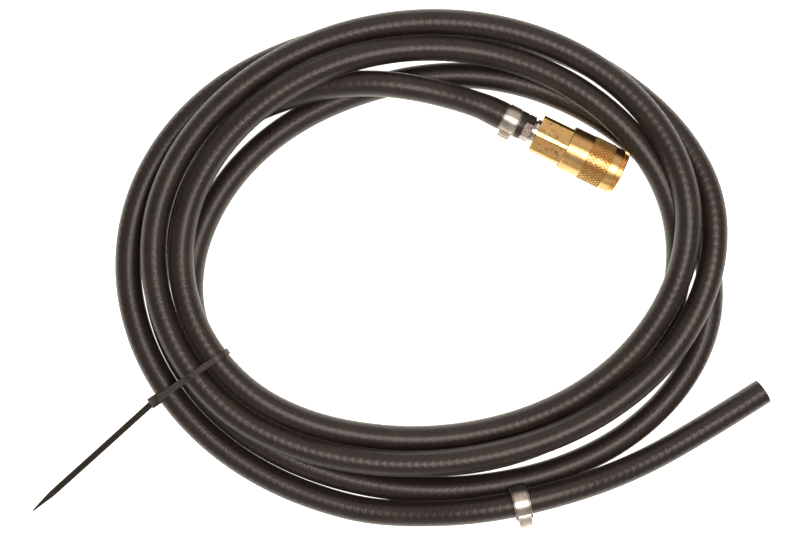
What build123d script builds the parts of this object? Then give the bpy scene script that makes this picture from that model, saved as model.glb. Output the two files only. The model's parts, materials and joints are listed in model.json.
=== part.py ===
from build123d import *
import math
import os

# A coiled rubber hose with a brass quick coupler clamped on one end, a second, loose ear
# clamp near its cut end and a nylon tie round the coil.  Millimetres, +Z up, on z = 0.
# The origin is under the middle of the whole object.  +X runs along the coil's long side.

# ---------------------------------------------------------------- driving dimensions
HOSE_R = 7.5                      # hose, outside radius
BORE_R = 4.5                      # hose, bore radius

# The coil: five loose turns, each an oval of its own radius, laid clockwise seen from above.
COIL_X, COIL_Y = 12.2, 2.6        # middle of the coil
FLATTEN = 0.845                   # short side of the ovals over their long side
FIRST_ANGLE = 315                 # the route's first station, degrees
STEP_ANGLE = 30                   # between two stations of the route
# One row a turn, one value a station, 315 or 345 degrees first and falling.
TURN_RADIUS = [
    [189.9, 176.5, 173.6, 172.5, 171.2, 170.4, 167.1, 161.3, 164.8, 170.4, 172.6],
    [159.5, 145, 136.5, 139, 148.8, 151.7, 155, 156.6, 160.5, 164.6, 165.1, 156.6],
    [141.6, 129, 121.6, 122.6, 131.8, 136.5, 138.6, 139.3, 143, 147, 147.5, 149.8],
    [149, 145, 140.8, 139, 139.7, 138, 128, 121.9, 122.6, 133.2, 143.8, 159.5],
    [173.4, 169.8, 159.5, 155.7, 156, 155.5, 153.1, 144.4, 125.1],
]
TURN_HEIGHT = [
    [7.5, 14, 9, 9, 9, 7.5, 7.5, 7.5, 7.5, 7.5, 20.5],
    [23, 22.5, 22.5, 22.5, 23.8, 23.6, 22.5, 22.5, 22.5, 22.5, 24, 30.5],
    [22.5, 15, 11, 16, 23, 23.8, 22.5, 26.5, 27, 19.5, 22, 18.5],
    [7.5, 7.5, 7.5, 7.5, 9, 9, 7.5, 7.5, 7.5, 7.5, 7.5, 7.5],
    [7.5, 7.5, 7.5, 7.5, 9, 9, 7.5, 9, 22],
]
COIL_START = 280                  # the coil solid holds the route from here ...
COIL_END = 100 - 4 * 360          # ... to here, in degrees along the route
HULL_STEP = 15                    # between two sections of the coil solid
HULL_SIDES = 12                   # sides of each section
COUPLER_ROOM = 0.6                # left between the coil solid and the coupler
PLUG_ROOM_R, PLUG_ROOM_END_U = 6.2, 65.6     # left in front of the coupler for a plug
CLAMP_ROOM_R = 10.3               # left in the coil solid round the loose clamp
CLAMP_ROOM_LENGTH = 24

# The stretches that leave the coil, by hand, from the free tip inwards.
FREE_END_ROUTE = [
    (212.3, -72.8, 7.5), (178.4, -94.5, 7.5), (137, -117, 11),
    (94.8, -130.4, 19.6), (47.4, -141.1, 19.6), (0, -144.4, 11),
]
LEAD_ROUTE = [
    (71.92, 81.32, 13.3), (46.5, 93.77, 13.3), (17, 101.4, 21.5),
    (-14, 105.7, 23), (-44, 103.9, 19),
]
BEND_SHARE = 0.45                 # of the shorter run, taken by each bend

# The coupler lies on its rim, its axis level.
AXIS_X, AXIS_Y, AXIS_Z = 79.1, 77.8, 13.3
AXIS_TURN = -26.1                 # heading of the coupler's mouth, degrees from +X

# Along the coupler, u = 0 at the back face of the brass hexagon, towards the mouth.
HOSE_END_U = -8
BARB_START_U = -27
STEEL_HEX_U = (-8, -3.1)
STEEL_HEX_FLATS = 14
STEEL_HEX_TURN = 18               # degrees, a corner of the hexagon from level
TAIL_THREAD_R = 6.5
TAIL_THREAD_END_U = 10.5
TAIL_BORE_R = 3
WASHER_U = (-1.9, 0)
WASHER_R = 7.7
BRASS_HEX_FLATS = 22
BRASS_HEX_CORNERS = 23.7          # across its corners, each planed off to a narrow flat
BRASS_HEX_TURN = -21
ADAPTER_HEX_END_U = 21
ADAPTER_END_U = 26
ADAPTER_THREAD_R = 8
ADAPTER_BORE_R = 4
BODY_START_U = 21
BODY_END_U = 53.4
BODY_FLANGE_R = 11.85
BODY_FLANGE_END_U = 23
BODY_R = 8.6
CHAMBER_R = 6.6
SEAT_U = 36
SEAT_R = 4.4
SEAT_THICK = 0.8
GUIDE_R = 6.1                     # socket in front of the balls, round the plug's shoulder
GUIDE_START_U = 46.2
SOCKET_R = 5.6                    # socket at the balls and behind them
PLUG_SEAL_U = (36.8, 38.8)
PLUG_SEAL_R = (3.9, 7)

SLEEVE_U = (19.2, 54)
SLEEVE_R = 13
KNURL_U = (32, 45.4)
KNURL_R = 13.3
RIM_START_U = 50.8
RIM_R = 13.1
SLEEVE_REAR_BORE_R = 12.1
SLEEVE_SHOULDER_U = 36
LOCK_LAND_R = 9
LOCK_RAMP = 0.211                 # rise of the locking cone per millimetre
LIP_U = (50.6, 51.8)
MOUTH_BORE_R = 10.4
SLEEVE_TRAVEL = 4.5

BALL_COUNT = 6
BALL_R = 1.75
BALL_U = 44
BALL_CENTRE_R = 6.95
BALL_HOLE_R = 1.85

SNAP_RING_U = (51.9, 53)
SNAP_RING_R = (8.2, 9.7)

VALVE_HEAD_U = (33.6, 35.2)
VALVE_HEAD_R = 5.9
VALVE_SEAL_R = (3.2, 5.7)
VALVE_NOSE_END_U = 41
VALVE_NOSE_R = 2.6
VALVE_STEM_START_U = 28.5
VALVE_STEM_R = 2.2

# Ear clamps: a plain ring with raised edges, and a band with one ear round it.
RING_WIDTH = 9.6
RING_THICK = 0.25
RING_LIP = 0.45
RING_LIP_WIDTH = 0.8
BAND_WIDTH = 7
BAND_THICK = 0.45
CLAMP_U = -16.5                   # middle of the crimped clamp
LOOSE_CLAMP_AT = (69.65, -135.95, 20.8)     # middle of the loose clamp, above the hose's middle
LOOSE_CLAMP_TURN = 12.72          # heading of the hose there
LOOSE_EAR_LIFT = 30               # its ear points this far above the level
LOOSE_RING_R = 9.1                # it is still wide open round the 7.5 mm hose
RUNNING_GAP = 0.05                # between the loose ring and its band

# Nylon tie, drawn round the coil.
TIE_X, TIE_Y = -116, -60.2        # middle of the strap's top
TIE_TURN = 214                    # outward heading of the strap's plane
TIE_WIDTH = 3.7
TIE_THICK = 1.3
TIE_HEAD = (5, 6.4, 5.6)
TIE_HEAD_OUT = 32.5               # middle of the head, out from the middle of the strap's top
TIE_HEAD_Z = 11
TAIL_TIP = (-216.3, -143.9, 0.9)
TAIL_TAPER = 15                   # length of the pointed part
TAIL_THICK = 1.2


# ---------------------------------------------------------------- the hose's route
def station_values(rows, angle):
    """A turn's radius or height at an angle along the route, smoothly between stations."""
    values = [value for row in rows for value in row]
    place = (FIRST_ANGLE - angle) / STEP_ANGLE
    index = min(max(math.floor(place), 0), len(values) - 2)
    t = place - index
    before = values[max(index - 1, 0)]
    here, there = values[index], values[index + 1]
    after = values[min(index + 2, len(values) - 1)]
    linear = there - before
    square = 2 * before - 5 * here + 4 * there - after
    cube = 3 * (here - there) + after - before
    return here + 0.5 * t * (linear + t * (square + t * cube))


def route_point(angle):
    """The hose's centre line in the coil; angle falls by 360 a turn."""
    radius = station_values(TURN_RADIUS, angle)
    height = max(station_values(TURN_HEIGHT, angle), HOSE_R)
    turn = math.radians(angle)
    return Vector(COIL_X + radius * math.cos(turn),
                  COIL_Y + FLATTEN * radius * math.sin(turn),
                  height)


def strands_at(angle):
    """Every strand of the coil that passes a compass angle."""
    laps = [angle - 360 * lap for lap in range(6)]
    return [route_point(a) for a in laps if COIL_END <= a <= COIL_START]


# ---------------------------------------------------------------- the coil as one solid
def bundle_face(middle, heading, strands, radius):
    """The outline drawn tight round the strands, on an upright plane along a heading."""
    out = Vector(math.cos(math.radians(heading)), math.sin(math.radians(heading)), 0)
    flat = [((p - middle).dot(out), p.Z) for p in strands]
    sides = []
    for k in range(HULL_SIDES):
        a = 2 * math.pi * k / HULL_SIDES
        reach = max(r * math.cos(a) + z * math.sin(a) for r, z in flat) + radius
        sides.append((a, reach))
    corners = []
    for k in range(HULL_SIDES):
        (a, reach_a), (b, reach_b) = sides[k], sides[(k + 1) % HULL_SIDES]
        det = math.sin(b - a)
        r = (reach_a * math.sin(b) - reach_b * math.sin(a)) / det
        z = (reach_b * math.cos(a) - reach_a * math.cos(b)) / det
        corners.append(middle + out * r + Vector(0, 0, z))
    return make_face(Polyline(*corners, close=True))


def tie_middle():
    return Vector(TIE_X, TIE_Y, 0)


def coil_section(angle):
    """One section of the coil; the one under the tie lies in the strap's plane."""
    if angle == 210:
        return bundle_face(tie_middle(), TIE_TURN, strands_at(angle), HOSE_R)
    turn = math.radians(angle)
    heading = math.degrees(math.atan2(FLATTEN * math.sin(turn), math.cos(turn)))
    return bundle_face(Vector(COIL_X, COIL_Y, 0), heading, strands_at(angle), HOSE_R)


def hose_coil():
    """The coil's outer shape, with room left for the coupler and the loose clamp."""
    halves = []
    for start in (0, 180):
        angles = range(start, start + 180 + 1, HULL_STEP)
        halves.append(loft([coil_section(a % 360) for a in angles], ruled=True))
    coupler_room = placed(rod(SLEEVE_U[0], SLEEVE_U[1] + COUPLER_ROOM, RIM_R + COUPLER_ROOM)
                          + rod(SLEEVE_U[1], PLUG_ROOM_END_U, PLUG_ROOM_R))
    clamp_room = loose_clamp_place() * rod(-CLAMP_ROOM_LENGTH / 2, CLAMP_ROOM_LENGTH / 2, CLAMP_ROOM_R)
    return halves[0] + halves[1] - coupler_room - clamp_room


# ---------------------------------------------------------------- the tubes that leave it
def bend_radii(points):
    radii = []
    for a, b, c in zip(points, points[1:], points[2:]):
        run_in, run_out = Vector(*b) - Vector(*a), Vector(*c) - Vector(*b)
        turn = math.radians(run_in.get_angle(run_out))
        radii.append(BEND_SHARE * min(run_in.length, run_out.length) / math.tan(turn / 2))
    return radii


def hose_tube(points):
    radii = bend_radii(points)
    print("bend radii", [round(r) for r in radii])
    path = FilletPolyline(*points, radius=radii)
    start = Plane(origin=points[0], z_dir=Vector(*points[1]) - Vector(*points[0]))
    wall = start * (Circle(HOSE_R) - Circle(BORE_R))
    hose = sweep(wall, path=path)
    section = math.pi * (HOSE_R ** 2 - BORE_R ** 2)
    print("tube length", round(path.length, 1), "volume ratio", hose.volume / (section * path.length))
    return hose


# ---------------------------------------------------------------- turned and hexagonal work
def turned(*outline):
    """A solid of revolution about X from corners (u, r)."""
    return revolve(make_face(Polyline(*[(u, 0, r) for u, r in outline], close=True)), Axis.X)


def tube(u_from, u_to, r_in, r_out):
    return turned((u_from, r_in), (u_to, r_in), (u_to, r_out), (u_from, r_out))


def rod(u_from, u_to, radius):
    return turned((u_from, 0), (u_to, 0), (u_to, radius), (u_from, radius))


def hexagon(u_from, u_to, flats, turn, chamfer):
    """A hexagonal bar along X with its corners turned off at both ends."""
    corner_r = flats / math.sqrt(3)
    bar = extrude(Plane.YZ.offset(u_from) * RegularPolygon(corner_r, 6, rotation=turn),
                  amount=u_to - u_from)
    blunt_r = corner_r - chamfer
    envelope = turned((u_from, 0), (u_from, blunt_r), (u_from + chamfer / 2, corner_r + 0.01),
                      (u_to - chamfer / 2, corner_r + 0.01), (u_to, blunt_r), (u_to, 0))
    return bar & envelope


def placed(solid):
    """From the coupler's own axis to its place in the object."""
    return Pos(AXIS_X, AXIS_Y, AXIS_Z) * Rot(0, 0, AXIS_TURN) * solid


def hose_tail():
    """Steel tail: three barbs in the hose, a hexagon, a neck and a thread."""
    barbs = [(BARB_START_U, TAIL_BORE_R), (BARB_START_U, 4.2)]
    for k in range(3):
        u = BARB_START_U + 1 + 5 * k
        barbs += [(u + 3.6, 5), (u + 4, BORE_R)]
    barbs += [(HOSE_END_U, BORE_R), (HOSE_END_U, TAIL_BORE_R)]
    stem = turned(*barbs)
    nut = hexagon(*STEEL_HEX_U, STEEL_HEX_FLATS, STEEL_HEX_TURN, 0.8)
    nut -= rod(STEEL_HEX_U[0] - 1, STEEL_HEX_U[1] + 1, TAIL_BORE_R)
    thread = turned((STEEL_HEX_U[1], TAIL_BORE_R), (TAIL_THREAD_END_U, TAIL_BORE_R),
                    (TAIL_THREAD_END_U, TAIL_THREAD_R - 1), (TAIL_THREAD_END_U - 1, TAIL_THREAD_R),
                    (STEEL_HEX_U[1], TAIL_THREAD_R))
    return stem + nut + thread


def seal_washer():
    return tube(*WASHER_U, TAIL_THREAD_R, WASHER_R)


def coupler_adapter():
    """Brass hexagon, tapped behind for the hose tail, with a thread into the coupler body."""
    bar = hexagon(0, ADAPTER_HEX_END_U, BRASS_HEX_FLATS, BRASS_HEX_TURN, 0.9)
    bar &= hexagon(0, ADAPTER_HEX_END_U, BRASS_HEX_CORNERS, BRASS_HEX_TURN + 30, 0)
    bar += rod(ADAPTER_HEX_END_U - 1, ADAPTER_END_U, ADAPTER_THREAD_R)
    bar -= rod(-1, TAIL_THREAD_END_U + 0.5, TAIL_THREAD_R)
    return bar - rod(0, ADAPTER_END_U + 1, ADAPTER_BORE_R)


def body_seal():
    """Ring in the corner between the adapter's thread and the body."""
    return tube(ADAPTER_END_U, ADAPTER_END_U + 0.8, 5.7, CHAMBER_R)


def coupler_body():
    """Brass body: valve chamber behind, plug socket in front, ball holes and ring groove."""
    body = turned((BODY_START_U, ADAPTER_THREAD_R), (BODY_START_U, BODY_FLANGE_R),
                  (BODY_FLANGE_END_U, BODY_FLANGE_R), (BODY_FLANGE_END_U, BODY_R),
                  (SNAP_RING_U[0], BODY_R), (SNAP_RING_U[0], SNAP_RING_R[0]),
                  (SNAP_RING_U[1], SNAP_RING_R[0]), (SNAP_RING_U[1], BODY_R),
                  (BODY_END_U - 0.3, BODY_R), (BODY_END_U, BODY_R - 0.3),
                  (BODY_END_U, GUIDE_R + 0.3), (BODY_END_U - 0.3, GUIDE_R),
                  (GUIDE_START_U, GUIDE_R), (GUIDE_START_U, SOCKET_R),
                  (PLUG_SEAL_U[1], SOCKET_R), (PLUG_SEAL_U[1], PLUG_SEAL_R[1]),
                  (PLUG_SEAL_U[0], PLUG_SEAL_R[1]), (PLUG_SEAL_U[0], SEAT_R),
                  (SEAT_U, SEAT_R), (SEAT_U, CHAMBER_R), (ADAPTER_END_U, CHAMBER_R),
                  (ADAPTER_END_U, ADAPTER_THREAD_R))
    hole = Pos(BALL_U, 0, 0) * Cylinder(BALL_HOLE_R, BODY_R + 1,
                                        align=(Align.CENTER, Align.CENTER, Align.MIN))
    for k in range(BALL_COUNT):
        body -= Rot(ball_angle(k), 0, 0) * hole
    return body


def plug_seal():
    return tube(*PLUG_SEAL_U, *PLUG_SEAL_R)


def valve():
    """Poppet: head behind the seat, a slotted nose in front and a guide stem behind."""
    head = turned((VALVE_STEM_START_U, 0), (VALVE_STEM_START_U, VALVE_STEM_R),
                  (VALVE_HEAD_U[0], VALVE_STEM_R), (VALVE_HEAD_U[0], VALVE_HEAD_R),
                  (VALVE_HEAD_U[1], VALVE_HEAD_R), (VALVE_HEAD_U[1], VALVE_SEAL_R[0]),
                  (SEAT_U, VALVE_SEAL_R[0]), (SEAT_U, VALVE_NOSE_R),
                  (VALVE_NOSE_END_U, VALVE_NOSE_R), (VALVE_NOSE_END_U, 1.6),
                  (SEAT_U, 1.6), (SEAT_U, 0))
    slot = Pos(VALVE_NOSE_END_U - 1.5, 0, 0) * Box(4, 1.2, 3 * VALVE_NOSE_R)
    return head - slot - Rot(90, 0, 0) * slot


def valve_seal():
    return tube(VALVE_HEAD_U[1], SEAT_U - RUNNING_GAP, *VALVE_SEAL_R)


def coil_spring(u_from, u_to, mean_r, wire_r, turns):
    """A round-wire spring along X between two faces."""
    height = u_to - u_from - 2 * wire_r
    helix = Helix(pitch=height / turns, height=height, radius=mean_r)
    start = Plane(origin=helix @ 0, z_dir=helix % 0)
    wire = sweep(start * Circle(wire_r), path=helix, is_frenet=True)
    return Pos(u_from + wire_r, 0, 0) * Rot(0, 90, 0) * wire


def valve_spring():
    return coil_spring(ADAPTER_END_U + 0.1, VALVE_HEAD_U[0] - 0.1, 4.9, 0.4, 4)


def sleeve_spring():
    return coil_spring(BODY_FLANGE_END_U + 0.1, SLEEVE_SHOULDER_U - 0.1, 9.9, 0.6, 4)


def sleeve():
    """Locking sleeve: wide behind, then the locking land, the ball recess, a lip and the mouth."""
    cone_end_u = BALL_U + SLEEVE_TRAVEL
    recess_r = LOCK_LAND_R + LOCK_RAMP * SLEEVE_TRAVEL
    groove = 0.35
    return turned((SLEEVE_U[0], SLEEVE_REAR_BORE_R), (SLEEVE_U[0], SLEEVE_R - 0.3),
                  (SLEEVE_U[0] + 0.3, SLEEVE_R), (KNURL_U[0], SLEEVE_R), (KNURL_U[0] + 0.3, KNURL_R),
                  (KNURL_U[1] - 0.3, KNURL_R), (KNURL_U[1], SLEEVE_R), (RIM_START_U - groove, SLEEVE_R),
                  (RIM_START_U - groove, SLEEVE_R - groove), (RIM_START_U, SLEEVE_R - groove),
                  (RIM_START_U, RIM_R), (SLEEVE_U[1] - 0.5, RIM_R), (SLEEVE_U[1], RIM_R - 0.5),
                  (SLEEVE_U[1], MOUTH_BORE_R), (LIP_U[1], MOUTH_BORE_R),
                  (LIP_U[1], BODY_R + 0.3), (LIP_U[0], BODY_R + 0.3), (LIP_U[0], recess_r),
                  (cone_end_u, recess_r), (BALL_U, LOCK_LAND_R),
                  (SLEEVE_SHOULDER_U, LOCK_LAND_R), (SLEEVE_SHOULDER_U, SLEEVE_REAR_BORE_R))


def snap_ring():
    """Open wire ring in the body's groove, in front of the sleeve's lip."""
    ring = tube(*SNAP_RING_U, *SNAP_RING_R)
    return ring - Pos(SNAP_RING_U[0], 0, SNAP_RING_R[1]) * Box(4, 2, 4)


def ball_angle(index):
    return 30 + 360 * index / BALL_COUNT


def locking_ball(index):
    return Rot(ball_angle(index), 0, 0) * Pos(BALL_U, 0, BALL_CENTRE_R) * Sphere(BALL_R)


# ---------------------------------------------------------------- ear clamps
def clamp_ring(inner_r):
    """Thin inner ring along X, middle at u = 0, with a raised lip at each edge."""
    half = RING_WIDTH / 2
    outer_r, lip_r = inner_r + RING_THICK, inner_r + RING_THICK + RING_LIP
    return turned((-half, inner_r), (half, inner_r), (half, lip_r), (half - RING_LIP_WIDTH, lip_r),
                  (half - RING_LIP_WIDTH, outer_r), (RING_LIP_WIDTH - half, outer_r),
                  (RING_LIP_WIDTH - half, lip_r), (-half, lip_r))


def prism(outline, width):
    """Corners (y, z) extruded along X, middle at u = 0."""
    face = make_face(Polyline(*[(-width / 2, y, z) for y, z in outline], close=True))
    return extrude(face, amount=width, dir=(1, 0, 0))


def clamp_band(inner_r, foot, neck, crown, height):
    """Band along X with its ear towards -Y: half widths at the foot, the neck and the crown."""
    outer_r = inner_r + BAND_THICK
    foot_y, neck_y = -math.sqrt(inner_r ** 2 - foot ** 2), -outer_r - 0.45 * height
    crown_y = -outer_r - height
    t = BAND_THICK
    outside = [(foot_y, -foot), (neck_y, -neck), (crown_y, -crown),
               (crown_y, crown), (neck_y, neck), (foot_y, foot)]
    inside = [(foot_y + t, t - foot), (neck_y, t - neck), (crown_y + t, t - crown),
              (crown_y + t, crown - t), (neck_y, neck - t), (foot_y + t, foot - t)]
    band = tube(-BAND_WIDTH / 2, BAND_WIDTH / 2, inner_r, outer_r)
    band += prism(outside, BAND_WIDTH) - rod(-BAND_WIDTH, BAND_WIDTH, inner_r)
    return band - prism(inside, BAND_WIDTH + 1)


def crimped_clamp():
    ring = placed(Pos(CLAMP_U, 0, 0) * clamp_ring(HOSE_R))
    band = clamp_band(HOSE_R + RING_THICK, 2.6, 1.1, 2.1, 5)
    return ring, placed(Pos(CLAMP_U, 0, 0) * Rot(-8, 0, 0) * band)


def loose_clamp_place():
    return Pos(*LOOSE_CLAMP_AT) * Rot(0, 0, LOOSE_CLAMP_TURN)


def loose_clamp():
    place = loose_clamp_place()
    band = clamp_band(LOOSE_RING_R + RING_THICK + RUNNING_GAP, 4.4, 3.6, 3.2, 4.6)
    return place * clamp_ring(LOOSE_RING_R), place * Rot(-LOOSE_EAR_LIFT, 0, 0) * band


# ---------------------------------------------------------------- the tie
def cable_tie(coil):
    """Strap drawn round the bundle, head at its outer side, tail down to the floor."""
    heading = math.radians(TIE_TURN)
    out = Vector(math.cos(heading), math.sin(heading), 0)
    across = Vector(-math.sin(heading), math.cos(heading), 0)
    loop_face = bundle_face(tie_middle(), TIE_TURN, strands_at(210), HOSE_R + TIE_THICK)
    strap = extrude(loop_face, amount=TIE_WIDTH / 2, dir=across, both=True) - coil
    head_at = tie_middle() + out * TIE_HEAD_OUT + Vector(0, 0, TIE_HEAD_Z)
    head = Plane(origin=head_at, x_dir=out, z_dir=(0, 0, 1)) * Box(*TIE_HEAD)
    neck = Plane(origin=head_at - out * 4 - Vector(0, 0, 1.5), x_dir=out, z_dir=(0, 0, 1)) \
        * Box(6, TIE_WIDTH, TIE_THICK)
    tip = Vector(*TAIL_TIP)
    run = tip - head_at
    plane = Plane(origin=head_at, x_dir=run, z_dir=Vector(0, 0, 1) - run * (run.Z / run.length ** 2))
    half = TIE_WIDTH / 2
    outline = Polyline((0, -half), (run.length - TAIL_TAPER, -half), (run.length, -0.4),
                       (run.length, 0.4), (run.length - TAIL_TAPER, half), (0, half), close=True)
    tail = extrude(plane * make_face(outline), amount=TAIL_THICK / 2, both=True)
    return strap + (neck - coil) + head + tail


# ---------------------------------------------------------------- the whole
def all_parts():
    coil = hose_coil()
    tail = placed(hose_tail())
    ring, band = crimped_clamp()
    loose_ring, loose_band = loose_clamp()
    parts = {
        "hose_coil": coil,
        "hose_lead": hose_tube(LEAD_ROUTE) - tail,
        "hose_free_end": hose_tube(FREE_END_ROUTE),
        "cable_tie": cable_tie(coil),
        "hose_tail": tail,
        "clamp_inner_ring": ring,
        "clamp_band": band,
        "loose_clamp_ring": loose_ring,
        "loose_clamp_band": loose_band,
        "seal_washer": placed(seal_washer()),
        "coupler_adapter": placed(coupler_adapter()),
        "body_seal": placed(body_seal()),
        "coupler_body": placed(coupler_body()),
        "plug_seal": placed(plug_seal()),
        "valve": placed(valve()),
        "valve_seal": placed(valve_seal()),
        "valve_spring": placed(valve_spring()),
        "sleeve": placed(sleeve()),
        "sleeve_spring": placed(sleeve_spring()),
        "snap_ring": placed(snap_ring()),
    }
    for k in range(BALL_COUNT):
        parts[f"locking_ball_{k + 1}"] = placed(locking_ball(k))
    return parts


os.makedirs("parts", exist_ok=True)
for name, solid in all_parts().items():
    export_step(solid, f"parts/{name}.step")
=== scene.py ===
import json
import math

import bpy
import numpy as np
from mathutils import Matrix, Vector


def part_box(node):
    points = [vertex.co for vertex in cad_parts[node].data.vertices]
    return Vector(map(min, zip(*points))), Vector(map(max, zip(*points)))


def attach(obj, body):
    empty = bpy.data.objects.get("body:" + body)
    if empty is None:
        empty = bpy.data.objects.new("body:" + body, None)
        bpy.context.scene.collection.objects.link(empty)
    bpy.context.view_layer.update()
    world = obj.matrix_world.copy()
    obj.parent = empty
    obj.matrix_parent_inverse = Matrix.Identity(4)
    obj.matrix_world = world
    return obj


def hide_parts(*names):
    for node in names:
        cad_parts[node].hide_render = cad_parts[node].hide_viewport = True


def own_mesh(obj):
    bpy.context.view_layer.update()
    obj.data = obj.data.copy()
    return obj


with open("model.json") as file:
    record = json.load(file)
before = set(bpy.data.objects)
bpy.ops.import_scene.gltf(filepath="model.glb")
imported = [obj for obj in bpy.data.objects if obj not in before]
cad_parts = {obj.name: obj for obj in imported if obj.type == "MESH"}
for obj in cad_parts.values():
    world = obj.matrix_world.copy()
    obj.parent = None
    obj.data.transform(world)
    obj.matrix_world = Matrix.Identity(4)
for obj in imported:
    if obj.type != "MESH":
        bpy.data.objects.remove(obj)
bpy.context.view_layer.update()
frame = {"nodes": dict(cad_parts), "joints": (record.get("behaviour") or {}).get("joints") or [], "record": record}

MM = 0.001
RECORD = frame["record"]
ROOT = "hose_and_coupler"

# ---------------------------------------------------------------- sizes of the hose, mm
HOSE_R = 7.5
BORE_R = 4.5
BRAID_R = (5.6, 6.3)              # where the textile layer shows at the cut
BRAID_PITCH = 4.6                 # along the hose, between two crossings of the braid
BRAID_STARTS = 7                  # crossings round the hose
BRAID_RELIEF = 0.1                # how far the braid shows through the cover
BRAID_DRIFT = (61, 23)            # lengths over which the relief comes and goes
STRETCH = 0.7                     # how far the tail's barbs swell the hose
STRETCH_END = 25                  # from the end on the coupler, where the swelling dies out
SQUEEZE = 0.45                    # how far the crimped clamp presses in
EDGE_ROUND = 0.15
RING_STEP = 1.25                  # between two rings of the hose's mesh
RING_SIDES = 28
BORE_SHOWN = 26                   # depth of the open bore at the cut end

COIL_X, COIL_Y = 12.2, 2.6
FLATTEN = 0.845
FIRST_ANGLE = 315
STEP_ANGLE = 30
# One row a turn, one value a station, 315 or 345 degrees first and falling.
TURN_RADIUS = [
    [189.9, 176.5, 173.6, 172.5, 171.2, 170.4, 167.1, 161.3, 164.8, 170.4, 172.6],
    [159.5, 145, 136.5, 139, 148.8, 151.7, 155, 156.6, 160.5, 164.6, 165.1, 156.6],
    [141.6, 129, 121.6, 122.6, 131.8, 136.5, 138.6, 139.3, 143, 147, 147.5, 149.8],
    [149, 145, 140.8, 139, 139.7, 138, 128, 121.9, 122.6, 133.2, 143.8, 159.5],
    [173.4, 169.8, 159.5, 155.7, 156, 155.5, 153.1, 144.4, 125.1],
]
TURN_HEIGHT = [
    [7.5, 14, 9, 9, 9, 7.5, 7.5, 7.5, 7.5, 7.5, 20.5],
    [23, 22.5, 22.5, 22.5, 23.8, 23.6, 22.5, 22.5, 22.5, 22.5, 24, 30.5],
    [22.5, 15, 11, 16, 23, 23.8, 22.5, 26.5, 27, 19.5, 22, 18.5],
    [7.5, 7.5, 7.5, 7.5, 9, 9, 7.5, 7.5, 7.5, 7.5, 7.5, 7.5],
    [7.5, 7.5, 7.5, 7.5, 9, 9, 7.5, 9, 22],
]
COIL_FROM = 120 - 4 * 360         # first point of the turns after the lead, degrees
COIL_TO = 255                     # last point of the turns before the free end
COIL_POINT_STEP = 15              # 24 points a turn
SPLINE_CUT = 0.9914               # a spline through such points runs this much inside them

LEAD_ROUTE = [
    (71.92, 81.32, 13.3), (58, 88.14, 13.3), (46.5, 93.77, 13.3), (17, 101.4, 21.5),
    (-14, 105.7, 23), (-44, 103.9, 19),
]
FREE_END_ROUTE = [
    (212.3, -72.8, 7.5), (178.4, -94.5, 7.5), (137, -117, 11),
    (94.8, -130.4, 19.6), (47.4, -141.1, 19.6), (0, -144.4, 11),
]

# ---------------------------------------------------------------- sizes of the fittings, mm
SOCKET_U = 49.65                  # where the plug socket's mount lies along the coupler
SLEEVE_R = 13
RIM_R = 13.1
KNURL_U = (32, 45.4)
KNURL_R = 13.28                   # over the tops of the diamonds
KNURL_DEPTH = 0.5
KNURL_AROUND = 40
KNURL_PITCH = 3                   # along the sleeve, between diamonds in one row
RIM_U = (50.8, 54)
RIM_TEETH = 70
RIM_TOOTH = 0.5

HOSE_END_U = -8                   # where the hose ends over its tail
CLAMP_U = -16.5
CLAMP_RING_WIDTH = 9.6
CLAMP_STRIP = 0.45
CLAMP_BAND_WIDTH = 7
CLAMP_WALL = 0.25
CLAMP_LIP = 0.5                   # how far each edge of the inner ring stands up
CRIMPED_TURN = -8                 # degrees, the crimped ear below level
CRIMPED_EAR = [(-8.3, 1.9), (-8.9, 1.0), (-10.2, 0.95), (-11.2, 1.5), (-12.3, 2.1), (-13.1, 1.9),
               (-13.35, 0)]
OPEN_EAR = [(-8.9, 4.2), (-9.9, 3.6), (-12.1, 3.4), (-13.7, 3.2), (-14.15, 2.7), (-14.25, 0)]
LOOSE_RING_R = 9.1
LOOSE_EAR_LIFT = 30

TIE_MIDDLE = Vector((-116, -60.2, 0))
TIE_TURN = 214
TIE_WIDTH = 3.7
TIE_THICK = 1.2
TIE_HEAD_OUT = 32.5
TIE_HEAD_Z = 11
TIE_HEAD = (5, 6.4, 5.6)
TAIL_TIP = Vector((-216.3, -143.9, 0.9))
TAIL_TAPER = 15
TAIL_POINT = 0.22                 # width left at the very tip, as a share
TAIL_SAG = 1.6
TAIL_STEPS = 24
TOOTH_PITCH = 0.8
TOOTH_HIGH = 0.35
STRAP_POINTS = 96

# ---------------------------------------------------------------- the studio, metres
CAMERA_PLACE = (0, 0, 0.8)
CAMERA_LENS = 61.02
SENSOR_WIDTH = 36
TABLE_GLOW = 1.15
ROOM_GLOW = 0.3
LIGHTS = [                        # name, place, size, power in watts
    ("key_softbox", (0.2, -0.08, 1.1), (0.5, 0.42), 7),
    ("front_wall", (-0.2, -1.2, 0.4), (1.8, 0.7), 1.6),
    ("back_wall", (0.1, 1.15, 0.95), (1.8, 1.1), 3.6),
]


# ---------------------------------------------------------------- small helpers
def mount(name):
    return next(m for m in RECORD["mounts"] if m["name"] == name)


def joint(name):
    return next(j for j in frame["joints"] if j["name"] == name)


def upright_frame(origin, axis):
    """A placement whose X runs along a level axis and whose Z is up; origin in metres."""
    x = Vector(axis).normalized()
    y = Vector((0, 0, 1)).cross(x)
    turn = Matrix((x, y, (0, 0, 1))).transposed().to_4x4()
    return Matrix.Translation(origin) @ turn


def coupler_frame():
    """X along the coupler towards its mouth, from the back of the brass hexagon."""
    socket = mount("plug_socket")
    axis = Vector(socket["axis"])
    return upright_frame(Vector(socket["pos_m"]) - axis * SOCKET_U * MM, axis)


def deselect():
    bpy.ops.object.select_all(action="DESELECT")


def only(obj):
    """Makes an object the one selected and active one."""
    deselect()
    obj.select_set(True)
    bpy.context.view_layer.objects.active = obj
    return obj


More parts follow.
